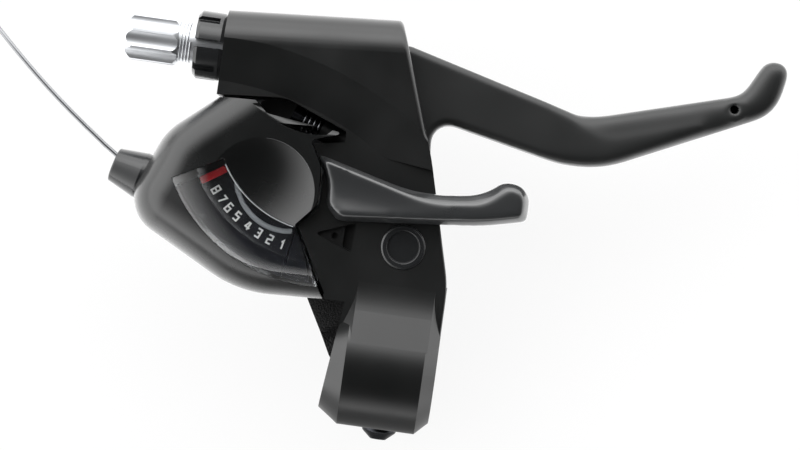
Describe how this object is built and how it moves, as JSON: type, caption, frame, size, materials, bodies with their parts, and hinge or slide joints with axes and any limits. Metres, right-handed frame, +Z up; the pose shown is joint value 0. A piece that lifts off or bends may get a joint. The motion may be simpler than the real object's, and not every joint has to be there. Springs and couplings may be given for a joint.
{
  "type": "flat-bar brake lever with trigger shifter and gear display",
  "caption": "Right-hand flat-bar brake lever in one unit with a thumb and finger trigger shifter, gear display and cable adjuster.",
  "frame": {"origin": "centre of the handlebar clamp, on the bar's axis", "axes": "+X along the bar towards its end, +Y forwards to the brake cable, +Z up to the gear display"},
  "size_m": [0.2592, 0.1222, 0.0428],
  "materials": {
    "moulded_black": "fine-grained black moulding",
    "gloss_black": "polished black moulding",
    "grip_pad": "grained black thumb pad",
    "coated_lever": "satin black coated aluminium",
    "bare_aluminium": "turned aluminium",
    "plain_steel": "plain steel",
    "black_steel": "blackened steel",
    "brass_bush": "plain brass",
    "inner_plastic": "natural grey plastic",
    "cast_end": "cast wire end",
    "clear_window": "clear polished plastic",
    "dial_face": "printed black dial",
    "red_needle": "red moulding"
  },
  "bodies": {
    "bracket_body": {"bracket": "moulded_black", "shift_cover": "moulded_black", "shift_case": "moulded_black", "cable_outlet": "gloss_black", "fixing_bolt_cap": "gloss_black", "stop_pawl_pin": "plain_steel", "main_axle": "plain_steel", "axle_circlip": "plain_steel", "axle_nut": "plain_steel", "base_plate": "plain_steel", "lever_pivot_pin": "plain_steel", "lever_pin_clip": "plain_steel", "clamp_nut": "plain_steel", "spool_spring": "plain_steel", "thumb_spring": "plain_steel", "release_spring": "plain_steel", "reach_spring": "plain_steel", "shift_wire": "plain_steel", "wire_coil": "plain_steel", "clamp_bolt": "black_steel", "unit_fixing_bolt": "black_steel", "indicator_window": "clear_window", "indicator_dial": "dial_face"},
    "brake_lever_body": {"brake_lever": "coated_lever", "lever_bush": "brass_bush"},
    "release_body": {"release_lever": "gloss_black", "release_shaft": "plain_steel", "release_cam": "plain_steel"},
    "stop_pawl_body": {"stop_pawl": "plain_steel"},
    "thumb_body": {"thumb_lever_arm": "plain_steel", "thumb_lever_pad": "grip_pad", "feed_pawl_post": "plain_steel"},
    "feed_pawl_body": {"feed_pawl": "plain_steel"},
    "spool_body": {"cable_spool": "inner_plastic", "ratchet_plate": "plain_steel", "cable_barrel": "cast_end"},
    "needle_body": {"indicator_needle": "red_needle"},
    "adjuster_body": {"barrel_adjuster": "bare_aluminium"},
    "lock_nut_body": {"adjuster_lock_nut": "gloss_black"},
    "reach_screw_body": {"reach_screw": "black_steel"}
  },
  "joints": [
    {"name": "brake_lever_pivot", "type": "hinge", "parent": "bracket_body", "child": "brake_lever_body", "pos_m": [-0.001, 0.043, 0], "axis": [0, 0, -1], "range_deg": [0, 30], "stiffness_Nm_per_rad": 0.6, "springref_deg": -6.88},
    {"name": "release_lever_pivot", "type": "hinge", "parent": "bracket_body", "child": "release_body", "pos_m": [-0.0145, 0.042, 0], "axis": [0, 0, -1], "range_deg": [0, 12], "stiffness_Nm_per_rad": 0.15, "springref_deg": -5.73},
    {"name": "stop_pawl_pivot", "type": "hinge", "parent": "bracket_body", "child": "stop_pawl_body", "pos_m": [-0.0236, 0.051, 0], "axis": [0, 0, 1], "range_deg": [0, 8]},
    {"name": "thumb_lever_pivot", "type": "hinge", "parent": "bracket_body", "child": "thumb_body", "pos_m": [-0.0362, 0.0395, 0], "axis": [0, 0, 1], "range_deg": [0, 38], "stiffness_Nm_per_rad": 0.1, "springref_deg": -11.46},
    {"name": "feed_pawl_pivot", "type": "hinge", "parent": "thumb_body", "child": "feed_pawl_body", "pos_m": [-0.03332, 0.02315, 0], "axis": [0, 0, -1], "range_deg": [0, 8], "stiffness_Nm_per_rad": 0.002, "springref_deg": -5.73},
    {"name": "spool_turn", "type": "hinge", "parent": "bracket_body", "child": "spool_body", "pos_m": [-0.0362, 0.0395, 0], "axis": [0, 0, 1], "range_deg": [0, 160]},
    {"name": "needle_turn", "type": "hinge", "parent": "bracket_body", "child": "needle_body", "pos_m": [-0.0221, 0.059, 0], "axis": [0, 0, 1], "range_deg": [0, 44.7]},
    {"name": "adjuster_turn", "type": "hinge", "parent": "bracket_body", "child": "adjuster_body", "pos_m": [-0.0507, 0.074, 0], "axis": [-1, 0, 0], "continuous": true},
    {"name": "lock_nut_turn", "type": "hinge", "parent": "bracket_body", "child": "lock_nut_body", "pos_m": [-0.0507, 0.074, 0], "axis": [-1, 0, 0], "continuous": true},
    {"name": "reach_screw_turn", "type": "hinge", "parent": "bracket_body", "child": "reach_screw_body", "pos_m": [-0.0315, 0.0599, 0.0032], "axis": [0.9367, -0.3502, 0], "continuous": true}
  ],
  "couplings": [
    {"joint": "stop_pawl_pivot", "follows": "release_lever_pivot", "ratio": 0.6666},
    {"joint": "needle_turn", "follows": "spool_turn", "ratio": 0.279}
  ]
}
